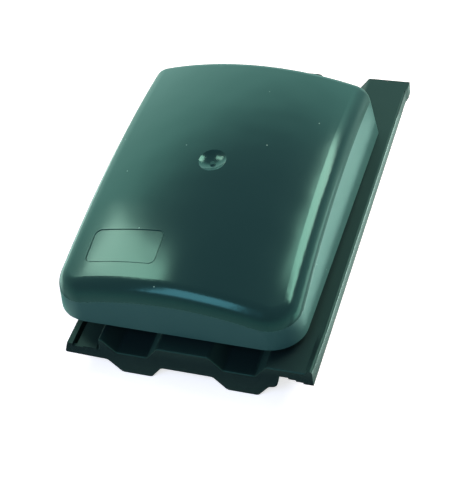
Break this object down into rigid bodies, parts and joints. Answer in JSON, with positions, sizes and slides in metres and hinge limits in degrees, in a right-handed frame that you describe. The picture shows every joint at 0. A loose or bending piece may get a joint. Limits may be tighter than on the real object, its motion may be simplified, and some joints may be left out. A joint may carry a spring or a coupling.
{
  "type": "roof tile vent",
  "caption": "Interlocking roof tile with troughs and a round duct collar, covered by a crowned rain hood that is open to the front above the tile.",
  "frame": {"origin": "centre of the bottom face of the bounding box, at the height of the nose skirt's lowest edge", "axes": "+Z out of the roof, square to the tile; +Y up the slope from the nose to the head; X across the tile, with the overlapping right lap at +X"},
  "size_m": [0.2461, 0.381, 0.1217],
  "materials": {
    "base_plastic": "semi-gloss moulded",
    "hood_plastic": "gloss moulded",
    "grille_plastic": "semi-gloss moulded"
  },
  "bodies": {
    "root": {"base_tile": "base_plastic", "hood": "hood_plastic", "insect_grille": "grille_plastic"}
  },
  "joints": []
}
